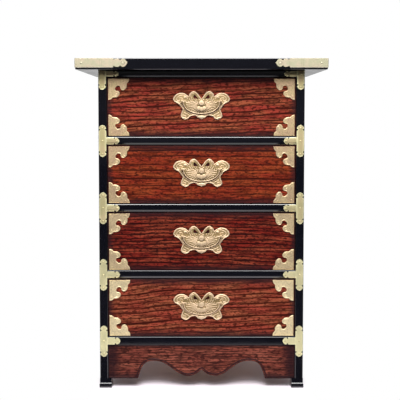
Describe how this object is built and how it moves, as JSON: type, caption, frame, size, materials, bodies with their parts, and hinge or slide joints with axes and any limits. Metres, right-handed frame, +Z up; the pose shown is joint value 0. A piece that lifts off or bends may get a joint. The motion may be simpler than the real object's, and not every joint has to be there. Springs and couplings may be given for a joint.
{
  "type": "telephone stand",
  "caption": "Small floor chest for a telephone: overhanging lacquered top, grained drawer fronts with brass corners and butterfly drop pulls, scalloped apron and block feet.",
  "frame": {"origin": "on the floor, under the middle of the top board", "axes": "+Z up, -Y towards the front with the drawers, +X to the right as seen from the front"},
  "size_m": [0.4488, 0.3424, 0.6],
  "materials": {
    "black_lacquer": "black lacquer over wood, semi-gloss",
    "red_brown_wood": "stained coarse-grained hardwood, lacquered, edges shaded dark",
    "pale_drawer_wood": "plain planed softwood, unfinished",
    "brass": "satin pale brass, lightly aged"
  },
  "bodies": {
    "carcass": {"top_board": "black_lacquer", "post_front_left": "black_lacquer", "post_front_right": "black_lacquer", "post_back_left": "black_lacquer", "post_back_right": "black_lacquer", "front_top_rail": "black_lacquer", "divider_rail_1": "black_lacquer", "divider_rail_2": "black_lacquer", "divider_rail_3": "black_lacquer", "front_bottom_rail": "black_lacquer", "side_top_rail_left": "black_lacquer", "side_top_rail_right": "black_lacquer", "side_bottom_rail_left": "black_lacquer", "side_bottom_rail_right": "black_lacquer", "foot_front_left": "black_lacquer", "foot_front_right": "black_lacquer", "foot_back_left": "black_lacquer", "foot_back_right": "black_lacquer", "side_panel_left": "red_brown_wood", "side_panel_right": "red_brown_wood", "back_panel": "red_brown_wood", "front_apron": "red_brown_wood", "side_apron_left": "red_brown_wood", "side_apron_right": "red_brown_wood", "shelf_1": "pale_drawer_wood", "shelf_2": "pale_drawer_wood", "shelf_3": "pale_drawer_wood", "shelf_4": "pale_drawer_wood", "top_corner_front_left": "brass", "top_corner_front_right": "brass", "top_corner_back_left": "brass", "top_corner_back_right": "brass"},
    "drawer_1": {"drawer_1_front": "red_brown_wood", "drawer_1_side_left": "pale_drawer_wood", "drawer_1_side_right": "pale_drawer_wood", "drawer_1_back": "pale_drawer_wood", "drawer_1_bottom": "pale_drawer_wood", "drawer_1_handle_plate": "brass"},
    "drawer_2": {"drawer_2_front": "red_brown_wood", "drawer_2_side_left": "pale_drawer_wood", "drawer_2_side_right": "pale_drawer_wood", "drawer_2_back": "pale_drawer_wood", "drawer_2_bottom": "pale_drawer_wood", "drawer_2_handle_plate": "brass"},
    "drawer_3": {"drawer_3_front": "red_brown_wood", "drawer_3_side_left": "pale_drawer_wood", "drawer_3_side_right": "pale_drawer_wood", "drawer_3_back": "pale_drawer_wood", "drawer_3_bottom": "pale_drawer_wood", "drawer_3_handle_plate": "brass"},
    "drawer_4": {"drawer_4_front": "red_brown_wood", "drawer_4_side_left": "pale_drawer_wood", "drawer_4_side_right": "pale_drawer_wood", "drawer_4_back": "pale_drawer_wood", "drawer_4_bottom": "pale_drawer_wood", "drawer_4_handle_plate": "brass"},
    "pull_1": {"drawer_1_pull": "brass"},
    "pull_2": {"drawer_2_pull": "brass"},
    "pull_3": {"drawer_3_pull": "brass"},
    "pull_4": {"drawer_4_pull": "brass"}
  },
  "joints": [
    {"name": "drawer_1_slide", "type": "slide", "parent": "carcass", "child": "drawer_1", "axis": [0, -1, 0], "range_m": [0, 0.2]},
    {"name": "drawer_2_slide", "type": "slide", "parent": "carcass", "child": "drawer_2", "axis": [0, -1, 0], "range_m": [0, 0.2]},
    {"name": "drawer_3_slide", "type": "slide", "parent": "carcass", "child": "drawer_3", "axis": [0, -1, 0], "range_m": [0, 0.2]},
    {"name": "drawer_4_slide", "type": "slide", "parent": "carcass", "child": "drawer_4", "axis": [0, -1, 0], "range_m": [0, 0.2]},
    {"name": "pull_1_hinge", "type": "hinge", "parent": "drawer_1", "child": "pull_1", "pos_m": [0, -0.1479, 0.5244], "axis": [-1, 0, 0], "range_deg": [0, 75]},
    {"name": "pull_2_hinge", "type": "hinge", "parent": "drawer_2", "child": "pull_2", "pos_m": [0, -0.1479, 0.4025], "axis": [-1, 0, 0], "range_deg": [0, 75]},
    {"name": "pull_3_hinge", "type": "hinge", "parent": "drawer_3", "child": "pull_3", "pos_m": [0, -0.1479, 0.2806], "axis": [-1, 0, 0], "range_deg": [0, 75]},
    {"name": "pull_4_hinge", "type": "hinge", "parent": "drawer_4", "child": "pull_4", "pos_m": [0, -0.1479, 0.1587], "axis": [-1, 0, 0], "range_deg": [0, 75]}
  ]
}
